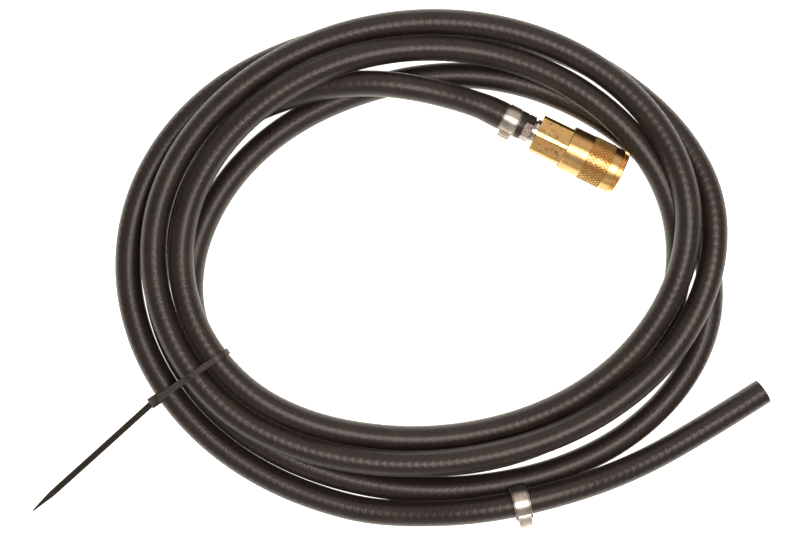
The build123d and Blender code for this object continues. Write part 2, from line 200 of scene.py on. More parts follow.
def settle(obj, name, placement=Matrix.Identity(4)):
    """Puts the object's place into its mesh, in the row frame, and names it."""
    obj.data.transform(placement @ obj.matrix_world)
    obj.matrix_world = Matrix.Identity(4)
    obj.name = name
    obj.data.name = name
    return obj


def modifier(obj, kind, **settings):
    """Adds a modifier and applies it."""
    only(obj)
    bpy.ops.object.modifier_add(type=kind)
    made = obj.modifiers[-1]
    for key, value in settings.items():
        setattr(made, key, value)
    bpy.ops.object.modifier_apply(modifier=made.name)


def edit(obj, mode="VERT"):
    only(obj)
    bpy.ops.object.mode_set(mode="EDIT")
    bpy.ops.mesh.select_mode(type=mode)


def leave_edit():
    bpy.ops.object.mode_set(mode="OBJECT")


def pick(obj, test, kind="vertices"):
    """In edit mode, selects just the vertices or faces whose centre passes a test."""
    bpy.ops.mesh.select_all(action="DESELECT")
    leave_edit()
    for item in getattr(obj.data, kind):
        place = item.co if kind == "vertices" else item.center
        item.select = bool(test(place))
    bpy.ops.object.mode_set(mode="EDIT")


def close_up(obj, gap=0.005):
    """Merges doubles and points every face outwards."""
    edit(obj)
    bpy.ops.mesh.select_all(action="SELECT")
    bpy.ops.mesh.remove_doubles(threshold=gap * MM)
    bpy.ops.mesh.normals_make_consistent(inside=False)
    leave_edit()


def ease(obj, width, angle=35, segments=2):
    """Rounds the sharp edges a little and smooths the rest."""
    modifier(obj, "BEVEL", width=width * MM, segments=segments, limit_method="ANGLE",
             angle_limit=math.radians(angle), miter_outer="MITER_ARC", harden_normals=False)
    only(obj)
    bpy.ops.object.shade_smooth_by_angle(angle=math.radians(angle))
    modifier(obj, "WEIGHTED_NORMAL", weight=100, keep_sharp=True)


def join(objects):
    deselect()
    for obj in objects:
        obj.select_set(True)
    bpy.context.view_layer.objects.active = objects[0]
    bpy.ops.object.join()
    return objects[0]


def finish_piece(obj, body, slot, material, *nodes):
    obj.data.materials.clear()
    obj.data.materials.append(material)
    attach(obj, body)
    if nodes:
        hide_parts(*nodes)
    return obj


def turned(stations, sides=128):
    """A turned piece along X: a circle pushed along and scaled at each station (u, r)."""
    u, r = stations[0]
    deselect()
    bpy.ops.mesh.primitive_circle_add(vertices=sides, radius=r * MM, location=(u * MM, 0, 0),
                                      rotation=(0, math.pi / 2, 0))
    obj = bpy.context.object
    bpy.ops.object.transform_apply(location=True, rotation=True, scale=True)
    edit(obj)
    bpy.ops.mesh.select_all(action="SELECT")
    for (u_from, r_from), (u_to, r_to) in zip(stations, stations[1:]):
        bpy.ops.mesh.extrude_region_move(
            TRANSFORM_OT_translate={"value": ((u_to - u_from) * MM, 0, 0)})
        grow = r_to / r_from
        bpy.ops.transform.resize(value=(1, grow, grow), center_override=(u_to * MM, 0, 0))
    leave_edit()
    return obj


def turned_ring(stations, sides=128):
    """A turned piece whose outline comes back to its first station."""
    obj = turned(stations + stations[:1], sides)
    close_up(obj)
    return obj


def around(obj, count, step, shift=0.0):
    """Copies a piece round the X axis, each turned by step and moved by shift."""
    deselect()
    bpy.ops.object.empty_add(location=(shift * MM, 0, 0), rotation=(step, 0, 0))
    guide = bpy.context.object
    modifier(obj, "ARRAY", count=count, use_relative_offset=False, use_object_offset=True,
             offset_object=guide)
    bpy.data.objects.remove(guide)
    return obj


def eased_copy(node, name, width, angle=35):
    """A CAD node's own shape with its edges eased."""
    source = frame["nodes"][node]
    obj = bpy.data.objects.new(name, source.data.copy())
    bpy.context.collection.objects.link(obj)
    close_up(obj, 0.002)
    edit(obj)
    bpy.ops.mesh.select_all(action="SELECT")
    bpy.ops.mesh.dissolve_limited(angle_limit=math.radians(0.5))
    leave_edit()
    ease(obj, width, angle)
    return obj


# ---------------------------------------------------------------- materials
def linear(hex_colour):
    """An sRGB hex colour as the linear colour that a shader takes."""
    channels = [int(hex_colour[i:i + 2], 16) / 255 for i in (1, 3, 5)]
    return [c / 12.92 if c <= 0.04045 else ((c + 0.055) / 1.055) ** 2.4 for c in channels] + [1]


def add(tree, kind, inputs=None, **settings):
    """Adds a node; an input is a value, or a socket to link from."""
    made = tree.nodes.new(kind)
    for key, value in settings.items():
        setattr(made, key, value)
    for key, value in (inputs or {}).items():
        if isinstance(value, bpy.types.NodeSocket):
            tree.links.new(value, made.inputs[key])
        else:
            made.inputs[key].default_value = value
    return made


def material(name, **values):
    """A new material; returns it with its tree and shader, the shader's values set."""
    made = bpy.data.materials.new(name)
    made.use_nodes = True
    tree = made.node_tree
    shader = next(n for n in tree.nodes if n.type == "BSDF_PRINCIPLED")
    for key, value in values.items():
        shader.inputs[key.replace("_", " ")].default_value = value
    return made, tree, shader


def math_node(tree, operation, *values, clamp=False):
    return add(tree, "ShaderNodeMath", dict(enumerate(values)), operation=operation,
               use_clamp=clamp).outputs[0]


def ramp(tree, factor, stops):
    """A colour ramp between (place, hex colour) stops."""
    made = add(tree, "ShaderNodeValToRGB", {"Fac": factor})
    elements = made.color_ramp.elements
    while len(elements) < len(stops):
        elements.new(0.5)
    for element, (place, colour) in zip(elements, stops):
        element.position = place
        element.color = linear(colour)
    return made.outputs["Color"]


def noise(tree, vector, size, detail=3.0, roughness=0.55):
    """Noise whose patches are about size millimetres across."""
    return add(tree, "ShaderNodeTexNoise", {"Vector": vector, "Scale": 1 / (size * MM),
               "Detail": detail, "Roughness": roughness}).outputs["Fac"]


def between(tree, value, low, high):
    """Spreads a 0 to 1 value between two others."""
    return add(tree, "ShaderNodeMapRange", {"Value": value, "To Min": low, "To Max": high},
               clamp=True).outputs[0]


def bump(tree, height, depth, strength=1.0):
    """A surface normal from a height of 0 to 1, depth millimetres deep."""
    return add(tree, "ShaderNodeBump", {"Height": height, "Distance": depth * MM,
               "Strength": strength}).outputs["Normal"]


def hose_rubber():
    """Extruded nitrile cover over a textile braid: near black, satin, the braid telegraphing."""
    made, tree, shader = material("nitrile_braided_hose_cover", IOR=1.52, Sheen_Weight=0.22,
                                  Sheen_Roughness=0.32)
    shader.inputs["Sheen Tint"].default_value = linear("#e9e4d2")
    uv = add(tree, "ShaderNodeUVMap", uv_map="along_hose").outputs["UV"]
    place = add(tree, "ShaderNodeTexCoord").outputs["Object"]
    split = add(tree, "ShaderNodeSeparateXYZ", {"Vector": uv})
    turn = math_node(tree, "MULTIPLY", split.outputs["X"], 2 * math.pi * BRAID_STARTS)
    run = math_node(tree, "MULTIPLY", split.outputs["Y"], 2 * math.pi / (BRAID_PITCH * MM))
    yarn = []
    for sign in ("ADD", "SUBTRACT"):
        lay = math_node(tree, sign, turn, run)
        coarse = math_node(tree, "SINE", lay)
        fine = math_node(tree, "SINE", math_node(tree, "MULTIPLY", lay, 4.0))
        yarn.append(math_node(tree, "MULTIPLY_ADD", fine, 0.3, coarse))
    weave = math_node(tree, "MAXIMUM", *yarn)
    grain = noise(tree, place, 0.7, 4.0)
    patches = noise(tree, place, 14, 3.0)
    height = math_node(tree, "MULTIPLY_ADD", grain, 0.9, weave)
    colour = ramp(tree, patches, [(0.3, "#221a17"), (0.55, "#2a211d"), (0.8, "#342a26")])
    tree.links.new(colour, shader.inputs["Base Color"])
    tree.links.new(between(tree, grain, 0.3, 0.48), shader.inputs["Roughness"])
    tree.links.new(bump(tree, height, 0.05, 0.8), shader.inputs["Normal"])
    return made


def cut_rubber():
    """Knife-cut rubber: matt, a little paler than the cover."""
    made, tree, shader = material("knife_cut_rubber", IOR=1.52)
    place = add(tree, "ShaderNodeTexCoord").outputs["Object"]
    grain = noise(tree, place, 0.5, 5.0)
    tree.links.new(ramp(tree, grain, [(0.3, "#1d1a18"), (0.7, "#34302d")]), shader.inputs["Base Color"])
    tree.links.new(between(tree, grain, 0.6, 0.85), shader.inputs["Roughness"])
    tree.links.new(bump(tree, grain, 0.12), shader.inputs["Normal"])
    return made


def braid_yarn():
    """Cut ends of the textile braid: pale grey specks in the rubber."""
    made, tree, shader = material("cut_textile_braid", IOR=1.5)
    place = add(tree, "ShaderNodeTexCoord").outputs["Object"]
    yarn = add(tree, "ShaderNodeTexVoronoi", {"Vector": place, "Scale": 1 / (0.55 * MM)})
    ends = yarn.outputs["Distance"]
    colour = ramp(tree, ends, [(0.25, "#a39d92"), (0.5, "#4a4541"), (0.8, "#1f1c1a")])
    tree.links.new(colour, shader.inputs["Base Color"])
    shader.inputs["Roughness"].default_value = 0.85
    tree.links.new(bump(tree, ends, 0.2, 0.6), shader.inputs["Normal"])
    return made


def coupler_coordinates(tree):
    """Coordinates along and across the coupler: X along its axis."""
    place = add(tree, "ShaderNodeTexCoord").outputs["Object"]
    turn = coupler_frame().to_euler()
    back = (-turn.x, -turn.y, -turn.z)
    return add(tree, "ShaderNodeMapping", {"Vector": place, "Rotation": back}).outputs[0]


def brass(name, stain=0.5, roughness=(0.2, 0.4)):
    """Free-cutting brass, turned on a lathe: yellow, bright, with fine rings and brown tarnish."""
    made, tree, shader = material(name, Metallic=1.0)
    along = coupler_coordinates(tree)
    place = add(tree, "ShaderNodeTexCoord").outputs["Object"]
    rings = add(tree, "ShaderNodeMapping", {"Vector": along, "Scale": (1, 0.02, 0.02)}).outputs[0]
    lathe = noise(tree, rings, 0.22, 3.0)
    cloud = noise(tree, place, 7, 4.0)
    spots = noise(tree, place, 2.6, 5.0, 0.65)
    over = math_node(tree, "SUBTRACT", spots, 1.06 - stain)
    tarnish = math_node(tree, "MULTIPLY", over, 6.0, clamp=True)
    clean = ramp(tree, cloud, [(0.3, "#d3a869"), (0.55, "#e0b97a"), (0.8, "#ecca92")])
    colour = add(tree, "ShaderNodeMix", {"Factor": tarnish, 6: clean, 7: linear("#6b4426")},
                 data_type="RGBA").outputs[2]
    tree.links.new(colour, shader.inputs["Base Color"])
    rough = between(tree, math_node(tree, "MULTIPLY_ADD", tarnish, 0.4, lathe), *roughness)
    tree.links.new(rough, shader.inputs["Roughness"])
    tree.links.new(bump(tree, lathe, 0.01, 0.5), shader.inputs["Normal"])
    return made


def stainless():
    """Cold-rolled stainless strip: bright, fine rolling lines round the band."""
    made, tree, shader = material("rolled_stainless_strip", Metallic=1.0)
    place = add(tree, "ShaderNodeTexCoord").outputs["Object"]
    lines = noise(tree, coupler_coordinates(tree), 0.3, 2.0)
    smear = noise(tree, place, 3.5, 4.0)
    tree.links.new(ramp(tree, smear, [(0.3, "#a8a29b"), (0.7, "#d6d0c8")]), shader.inputs["Base Color"])
    tree.links.new(between(tree, smear, 0.26, 0.42), shader.inputs["Roughness"])
    tree.links.new(bump(tree, lines, 0.01, 0.4), shader.inputs["Normal"])
    return made


def zinc_steel():
    """Zinc-plated free-cutting steel: grey, slightly pink under warm light, satin."""
    made, tree, shader = material("zinc_plated_steel", Metallic=1.0)
    place = add(tree, "ShaderNodeTexCoord").outputs["Object"]
    smear = noise(tree, place, 2.0, 5.0)
    tree.links.new(ramp(tree, smear, [(0.3, "#8a807d"), (0.7, "#b8aca6")]), shader.inputs["Base Color"])
    tree.links.new(between(tree, smear, 0.25, 0.42), shader.inputs["Roughness"])
    tree.links.new(bump(tree, smear, 0.02, 0.4), shader.inputs["Normal"])
    return made


def bright_metal(name, colour, roughness):
    """Drawn or ground metal: bright, almost even, with light wear."""
    made, tree, shader = material(name, Metallic=1.0)
    place = add(tree, "ShaderNodeTexCoord").outputs["Object"]
    wear = noise(tree, place, 1.5, 4.0)
    shader.inputs["Base Color"].default_value = linear(colour)
    tree.links.new(between(tree, wear, roughness * 0.7, roughness * 1.4), shader.inputs["Roughness"])
    tree.links.new(bump(tree, wear, 0.01, 0.3), shader.inputs["Normal"])
    return made


def nylon():
    """Injection-moulded black nylon 66: brown-black, satin, faint flow marks."""
    made, tree, shader = material("moulded_black_nylon", IOR=1.53)
    place = add(tree, "ShaderNodeTexCoord").outputs["Object"]
    flow = noise(tree, place, 1.2, 4.0)
    tree.links.new(ramp(tree, flow, [(0.3, "#26211d"), (0.7, "#352e28")]), shader.inputs["Base Color"])
    tree.links.new(between(tree, flow, 0.35, 0.5), shader.inputs["Roughness"])
    tree.links.new(bump(tree, flow, 0.03, 0.5), shader.inputs["Normal"])
    return made


def seal_rubber():
    """Moulded nitrile seal: black, dull."""
    made, tree, shader = material("moulded_nitrile_seal", IOR=1.52)
    place = add(tree, "ShaderNodeTexCoord").outputs["Object"]
    grain = noise(tree, place, 0.6, 4.0)
    tree.links.new(ramp(tree, grain, [(0.3, "#131211"), (0.7, "#201e1d")]), shader.inputs["Base Color"])
    tree.links.new(between(tree, grain, 0.5, 0.7), shader.inputs["Roughness"])
    tree.links.new(bump(tree, grain, 0.03, 0.5), shader.inputs["Normal"])
    return made


# ---------------------------------------------------------------- the hose's route
def station_value(rows, angle):
    """A turn's radius or height at an angle along the route, smoothly between stations."""
    values = [value for row in rows for value in row]
    place = (FIRST_ANGLE - angle) / STEP_ANGLE
    index = min(max(math.floor(place), 0), len(values) - 2)
    t = place - index
    before = values[max(index - 1, 0)]
    here, there = values[index], values[index + 1]
    after = values[min(index + 2, len(values) - 1)]
    linear_part = there - before
    square = 2 * before - 5 * here + 4 * there - after
    cube = 3 * (here - there) + after - before
    return here + 0.5 * t * (linear_part + t * (square + t * cube))


def coil_point(angle):
    radius = station_value(TURN_RADIUS, angle) / SPLINE_CUT
    height = max(station_value(TURN_HEIGHT, angle), HOSE_R)
    turn = math.radians(angle)
    return (COIL_X + radius * math.cos(turn), COIL_Y + FLATTEN * radius * math.sin(turn), height)


def hose_line():
    """The hose's centre line from the coupler to the cut end, in metres, evenly spaced."""
    turns = [coil_point(a) for a in range(COIL_FROM, COIL_TO + 1, COIL_POINT_STEP)]
    points = LEAD_ROUTE + turns + FREE_END_ROUTE[::-1]
    curve = bpy.data.curves.new("hose_route", "CURVE")
    curve.dimensions = "3D"
    spline = curve.splines.new("NURBS")
    spline.points.add(len(points) - 1)
    for knot, place in zip(spline.points, points):
        knot.co = (*(c * MM for c in place), 1)
    spline.order_u = 3
    spline.use_endpoint_u = True
    spline.resolution_u = 32
    guide = bpy.data.objects.new("hose_route", curve)
    bpy.context.collection.objects.link(guide)
    bpy.context.view_layer.update()
    line = bpy.data.meshes.new_from_object(guide)
    found = np.array([v.co for v in line.vertices])
    bpy.data.objects.remove(guide)
    bpy.data.curves.remove(curve)
    bpy.data.meshes.remove(line)
    runs = np.concatenate([[0], np.cumsum(np.linalg.norm(np.diff(found, axis=0), axis=1))])
    count = round(runs[-1] / (RING_STEP * MM))
    even = np.linspace(0, runs[-1], count + 1)
    return np.stack([np.interp(even, runs, found[:, k]) for k in range(3)], axis=1), runs[-1]


def carried_frames(line):
    """Two directions across the line at each point, carried along it without twist."""
    tangents = np.gradient(line, axis=0)
    tangents /= np.linalg.norm(tangents, axis=1)[:, None]
    side = np.cross(tangents[0], (0, 0, 1))
    sides, ups = [], []
    for tangent in tangents:
        side = side - tangent * side.dot(tangent)
        side = side / np.linalg.norm(side)
        sides.append(side)
        ups.append(np.cross(tangent, side))
    return tangents, np.array(sides), np.array(ups)


def cover_radius(distance, turn):
    """The cover's radius in mm: the braid's relief, stretched by the tail, squeezed by the clamp."""
    braid = np.cos(BRAID_STARTS * turn) * np.cos(2 * math.pi * distance / BRAID_PITCH)
    vary = 0.7 + 0.3 * np.sin(distance / BRAID_DRIFT[0]) * np.sin(distance / BRAID_DRIFT[1])
    clamp_at = HOSE_END_U - CLAMP_U
    squeeze = SQUEEZE * np.exp(-((distance - clamp_at) / (0.6 * CLAMP_BAND_WIDTH)) ** 6)
    stretch = STRETCH / (1 + np.exp((distance - STRETCH_END) / 2.5))
    return HOSE_R - BRAID_RELIEF * (1 - braid * vary) * 0.5 + stretch - squeeze


def hose():
    """The whole hose as one tube, open at its cut end."""
    line, length = hose_line()
    tangents, sides, ups = carried_frames(line)
    turn = np.arange(RING_SIDES) * 2 * math.pi / RING_SIDES
    rings, along, kinds = [], [], []

    def ring(index, radius, shift=0.0, kind=0):
        centre = line[index] + tangents[index] * shift * MM
        round_it = np.outer(np.cos(turn), sides[index]) + np.outer(np.sin(turn), ups[index])
        rings.append(centre + round_it * (np.broadcast_to(radius, turn.shape) * MM)[:, None])
        along.append(index * RING_STEP)
        kinds.append(kind)

    last = len(line) - 1
    ring(4, 2.5)
    ring(4, BORE_R)
    ring(0, BORE_R, 0, 1)
    ring(0, HOSE_R - 0.3, 0, 1)
    for index in range(last + 1):
        shift = EDGE_ROUND * ((index == 0) - (index == last))
        ring(index, cover_radius(index * RING_STEP, turn), shift)
    ring(last, HOSE_R - 0.35, 0, 0)
    ring(last, BRAID_R[1], 0.02, 1)
    ring(last, BRAID_R[1] - 0.1, 0.1, 2)
    ring(last, BRAID_R[0] + 0.1, 0.1, 2)
    ring(last, BRAID_R[0], 0.02, 2)
    ring(last, BORE_R + 0.2, 0, 1)
    for back in range(0, round(BORE_SHOWN / RING_STEP), 2):
        ring(last - back, BORE_R, 0, 1)
    ring(last - round(BORE_SHOWN / RING_STEP), 2, 0, 1)

    vertices = np.concatenate(rings)
    count = len(rings)
    index = np.arange(count - 1)[:, None] * RING_SIDES
    here = np.arange(RING_SIDES)[None, :]
    after = (here + 1) % RING_SIDES
    quads = np.stack([index + here, index + after, index + RING_SIDES + after,
                      index + RING_SIDES + here], axis=-1).reshape(-1, 4)
    mesh = bpy.data.meshes.new("rubber_hose")
    ends = [list(range(RING_SIDES))[::-1], list(range((count - 1) * RING_SIDES, count * RING_SIDES))]
    mesh.from_pydata(vertices.tolist(), [], quads.tolist() + ends)
    layer = mesh.uv_layers.new(name="along_hose")
    u = np.stack([here + 0 * index, here + 1 + 0 * index, here + 1 + 0 * index, here + 0 * index], -1)
    step = np.array(along) * MM
    v = np.stack([step[:-1], step[:-1], step[1:], step[1:]], -1)
    v = np.repeat(v[:, None, :], RING_SIDES, axis=1)
    uv = np.stack([u / RING_SIDES, v], axis=-1).reshape(-1, 2)
    uv = np.concatenate([uv, np.zeros((2 * RING_SIDES, 2))])
    layer.data.foreach_set("uv", uv.astype(np.float32).ravel())
    obj = bpy.data.objects.new("rubber_hose", mesh)
    bpy.context.collection.objects.link(obj)
    for made in (hose_rubber(), cut_rubber(), braid_yarn()):
        mesh.materials.append(made)
    faces = np.concatenate([np.repeat(kinds[1:], RING_SIDES), [1, 1]])
    mesh.polygons.foreach_set("material_index", faces.astype(np.int32))
    mesh.update()
    only(obj)
    bpy.ops.object.shade_smooth_by_angle(angle=math.radians(50))
    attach(obj, ROOT)
    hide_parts("hose_coil", "hose_lead", "hose_free_end")
    return line


# ---------------------------------------------------------------- clamps
def clamp_ring(name, inner_r, placement):
    """Thin inner ring with a rolled lip at each edge."""
    half = CLAMP_RING_WIDTH / 2
    outer = inner_r + CLAMP_WALL
    edge = outer + CLAMP_LIP
    obj = turned_ring([
        (-half, inner_r), (-half, edge), (0.35 - half, edge), (0.8 - half, outer),
        (half - 0.8, outer), (half - 0.35, edge), (half, edge), (half, inner_r)])
    ease(obj, 0.09)
    return settle(obj, name, placement)


def clamp_band(name, inner_r, ear, placement):
    """A strip bent round X into a ring, its two ends running out into an ear towards -Y."""
    middle_r = inner_r + CLAMP_STRIP / 2
    foot = ear[0][1]
    deselect()
    bpy.ops.mesh.primitive_circle_add(vertices=90, radius=middle_r * MM,
                                      rotation=(0, math.pi / 2, 0))
    obj = bpy.context.object
    bpy.ops.object.transform_apply(location=True, rotation=True, scale=True)
    edit(obj)
    pick(obj, lambda p: p.y < 0 and abs(p.z) < foot * MM)
    bpy.ops.mesh.delete(type="VERT")
    for sign in (1, -1):
        leave_edit()
        ends = [v for v in obj.data.vertices if v.co.y < -0.3 * inner_r * MM and v.co.z * sign > 0]
        tip = min(ends, key=lambda v: abs(v.co.z)).co.copy()
        bpy.ops.object.mode_set(mode="EDIT")
        for y, z in ear:
            pick(obj, lambda p: (p - tip).length < 0.01 * MM)
            there = Vector((0, y * MM, sign * z * MM))
            bpy.ops.mesh.extrude_vertices_move(TRANSFORM_OT_translate={"value": there - tip})
            tip = there
    bpy.ops.mesh.select_all(action="SELECT")
    bpy.ops.mesh.remove_doubles(threshold=0.02 * MM)
    bpy.ops.transform.translate(value=(-CLAMP_BAND_WIDTH / 2 * MM, 0, 0))
    bpy.ops.mesh.extrude_region_move(TRANSFORM_OT_translate={"value": (CLAMP_BAND_WIDTH * MM, 0, 0)})
    bpy.ops.mesh.select_all(action="SELECT")
    bpy.ops.mesh.normals_make_consistent(inside=False)
    leave_edit()
    modifier(obj, "SOLIDIFY", thickness=CLAMP_STRIP * MM, offset=0, use_even_offset=True)
    close_up(obj)
    ease(obj, 0.08, 40)
    return settle(obj, name, placement)


def clamps():
    """The crimped clamp by the coupler and the open one near the cut end."""
    steel = stainless()
    coupler = coupler_frame()
    crimped = coupler @ Matrix.Translation((CLAMP_U * MM, 0, 0))
    ring = clamp_ring("crimped_clamp_ring", HOSE_R + 0.27, crimped)
    finish_piece(ring, ROOT, "stainless", steel, "clamp_inner_ring")
    band = clamp_band("crimped_clamp_band", HOSE_R + 0.54, CRIMPED_EAR,
                      crimped @ Matrix.Rotation(math.radians(CRIMPED_TURN), 4, "X"))
    finish_piece(band, ROOT, "stainless", steel, "clamp_band")

    hinge = joint("loose_clamp_turn")
    loose = upright_frame(Vector(hinge["pos_m"]), hinge["axis"])
    ring = clamp_ring("loose_clamp_inner_ring", LOOSE_RING_R, loose)
    finish_piece(ring, "loose_ring", "stainless", steel, "loose_clamp_ring")
    band = clamp_band("loose_clamp_open_band", LOOSE_RING_R + 0.3, OPEN_EAR,
                      loose @ Matrix.Rotation(math.radians(-LOOSE_EAR_LIFT), 4, "X"))
    finish_piece(band, "loose_band", "stainless", steel, "loose_clamp_band")


# ---------------------------------------------------------------- the tie
def strip(points, across, width, thick, name, closed=False):
    """A flat strip that follows points, in mm, its width along across."""
    mesh = bpy.data.meshes.new(name)
    edges = [(k, k + 1) for k in range(len(points) - 1)]
    if closed:
        edges.append((len(points) - 1, 0))
    mesh.from_pydata([(p - across * width / 2) * MM for p in points], edges, [])
    obj = bpy.data.objects.new(name, mesh)
    bpy.context.collection.objects.link(obj)
    edit(obj)
    bpy.ops.mesh.select_all(action="SELECT")
    bpy.ops.mesh.extrude_region_move(TRANSFORM_OT_translate={"value": across * width * MM})
    bpy.ops.mesh.select_all(action="SELECT")
    bpy.ops.mesh.normals_make_consistent(inside=False)
    leave_edit()
    modifier(obj, "SOLIDIFY", thickness=thick * MM, offset=0, use_even_offset=True)
    return obj


def bundle_outline(line, out, across, radius):
    """Points of a strap drawn round the strands that cross the tie's plane, in mm."""
    offsets = (line / MM - np.array(TIE_MIDDLE)).dot(np.array(across))
    near = np.linalg.norm(line[:, :2] / MM - np.array(TIE_MIDDLE)[:2], axis=1) < 60
    strands = []
    for k in np.flatnonzero((offsets[:-1] * offsets[1:] < 0) & near[:-1]):
        point = Vector(line[k] / MM) - TIE_MIDDLE
        strands.append((point.dot(out), point.z))
    points = []
    for k in range(STRAP_POINTS):
        a = 2 * math.pi * k / STRAP_POINTS
        r, z = max(strands, key=lambda s: s[0] * math.cos(a) + s[1] * math.sin(a))
        lift = Vector((0, 0, z + radius * math.sin(a)))
        points.append(TIE_MIDDLE + out * (r + radius * math.cos(a)) + lift)
    return points


def tail_sag(share):
    """How far the tail hangs below a straight run, at a share of its length."""
    return Vector((0, 0, -TAIL_SAG * math.sin(math.pi * share)))


def tie(line):
    """Nylon tie: strap round the coil, head with its window, toothed tail to the floor."""
    turn = math.radians(TIE_TURN)
    out = Vector((math.cos(turn), math.sin(turn), 0))
    across = Vector((-math.sin(turn), math.cos(turn), 0))
    strap = strip(bundle_outline(line, out, across, HOSE_R + TIE_THICK / 2 + 0.05), across,
                  TIE_WIDTH, TIE_THICK, "tie_strap", closed=True)
    close_up(strap)
    ease(strap, 0.25, 50)

    head_at = TIE_MIDDLE + out * TIE_HEAD_OUT + Vector((0, 0, TIE_HEAD_Z))
    deselect()
    bpy.ops.mesh.primitive_cube_add(size=1)
    head = bpy.context.object
    head.data.transform(Matrix.Diagonal((*(s * MM for s in TIE_HEAD), 1)))
    edit(head, "FACE")
    pick(head, lambda p: abs(p.x) > 0.4 * TIE_HEAD[0] * MM, "polygons")
    bpy.ops.mesh.inset(thickness=0.9 * MM, use_individual=True)
    bpy.ops.mesh.extrude_region_shrink_fatten(TRANSFORM_OT_shrink_fatten={"value": -0.8 * MM})
    pick(head, lambda p: p.z > 0.45 * TIE_HEAD[2] * MM, "polygons")
    bpy.ops.mesh.inset(thickness=1.0 * MM)
    bpy.ops.transform.translate(value=(0, 0, -0.6 * MM))
    leave_edit()
    ease(head, 0.35, 40, 3)
    settle(head, "tie_head", Matrix.Translation(head_at * MM) @ Matrix.Rotation(turn, 4, "Z"))

    run = TAIL_TIP - head_at
    along = run.normalized()
    side = Vector((0, 0, 1)).cross(along).normalized()
    up = along.cross(side)
    places = []
    for k in range(TAIL_STEPS + 1):
        share = k / TAIL_STEPS
        places.append(head_at + run * share + tail_sag(share))
    tail = strip(places, side, TIE_WIDTH, TIE_THICK - 0.1, "tie_tail")
    edit(tail)
    bpy.ops.mesh.select_all(action="SELECT")
    bpy.ops.mesh.bisect(plane_co=(TAIL_TIP - along * TAIL_TAPER) * MM, plane_no=along)
    leave_edit()
    for v in tail.data.vertices:
        p = v.co / MM
        left = (TAIL_TIP - p).dot(along)
        if left < TAIL_TAPER:
            narrow = TAIL_POINT + (1 - TAIL_POINT) * max(left, 0) / TAIL_TAPER
            p -= side * (p - TAIL_TIP).dot(side) * (1 - narrow)
            v.co = p * MM
    ease(tail, 0.3, 50)

    count = round((run.length - TAIL_TAPER - TIE_HEAD[0]) / TOOTH_PITCH)
    teeth = []
    deselect()
    bpy.ops.mesh.primitive_cone_add(vertices=4, radius1=0.5, radius2=0.25, depth=1,
                                    rotation=(0, 0, math.pi / 4))
    tooth = bpy.context.object
    bpy.ops.object.transform_apply(location=True, rotation=True, scale=True)
    basis = Matrix((along, side, up)).transposed().to_4x4()
    size = Matrix.Diagonal((TOOTH_PITCH * 1.1, (TIE_WIDTH - 0.9) * 1.4142, TOOTH_HIGH, 1))
    tooth.data.transform(Matrix.Scale(MM, 4) @ basis @ size)
    for k in range(count):
        d = TIE_HEAD[0] / 2 + 0.6 + k * TOOTH_PITCH
        place = head_at + along * d + tail_sag(d / run.length) + up * (TIE_THICK / 2 + 0.02)
        copy = tooth.copy()
        copy.data = tooth.data.copy()
        bpy.context.collection.objects.link(copy)
        copy.data.transform(Matrix.Translation(place * MM))
        teeth.append(copy)
    bpy.data.objects.remove(tooth)
    whole = join([strap, head, tail] + teeth)
    settle(whole, "nylon_tie")
    finish_piece(whole, ROOT, "black_nylon", nylon(), "cable_tie")


# ---------------------------------------------------------------- the coupler
def knurl_stud():
    """One flat-topped diamond of the knurl, on the sleeve's top at u = 0."""
    across = 2 * math.pi * KNURL_R / KNURL_AROUND
    sink = KNURL_DEPTH * 1.25
    deselect()
    bpy.ops.mesh.primitive_cone_add(vertices=4, radius1=0.5, radius2=0.27, depth=sink)
    stud = bpy.context.object
    bpy.ops.transform.resize(value=(KNURL_PITCH, across, 1), center_override=(0, 0, 0))
    bpy.ops.object.transform_apply(location=True, rotation=True, scale=True)
    stud.data.transform(Matrix.Scale(MM, 4))
    stud.data.transform(Matrix.Translation((0, 0, (KNURL_R - sink / 2) * MM)))
    return stud


def diamond_knurl():
    """The studs copied round and along the sleeve, every second row turned half a step."""
    stud = knurl_stud()
    step = 2 * math.pi / KNURL_AROUND
    around(stud, KNURL_AROUND, step)
    rows = int((KNURL_U[1] - KNURL_U[0]) / (KNURL_PITCH / 2)) + 2
    around(stud, rows, step / 2, KNURL_PITCH / 2)
    stud.data.transform(Matrix.Translation((KNURL_U[0] * MM, 0, 0)))
    for end, facing in ((KNURL_U[0] + 0.15, -1), (KNURL_U[1] - 0.15, 1)):
        edit(stud)
        bpy.ops.mesh.select_all(action="SELECT")
        bpy.ops.mesh.bisect(plane_co=(end * MM, 0, 0), plane_no=(facing, 0, 0), use_fill=True,
                            clear_outer=True)
        leave_edit()
    return stud


def rim_teeth():
    """The straight knurl round the mouth: ridges along X with sloping flanks."""
    length = RIM_U[1] - RIM_U[0] - 0.5
    pitch = 2 * math.pi * RIM_R / RIM_TEETH
    deselect()
    bpy.ops.mesh.primitive_cube_add(size=1)
    tooth = bpy.context.object
    tooth.data.transform(Matrix.Diagonal((length, pitch * 0.92, RIM_TOOTH * 1.6, 1)))
    edit(tooth, "FACE")
    pick(tooth, lambda p: p.z > 0.4 * RIM_TOOTH, "polygons")
    bpy.ops.transform.resize(value=(0.94, 0.5, 1), center_override=(0, 0, 0))
    leave_edit()
    tooth.data.transform(Matrix.Scale(MM, 4))
    top = Matrix.Translation(((RIM_U[0] + 0.1 + length / 2) * MM, 0, (RIM_R - RIM_TOOTH * 0.8) * MM))
    tooth.data.transform(top)
    return around(tooth, RIM_TEETH, 2 * math.pi / RIM_TEETH)


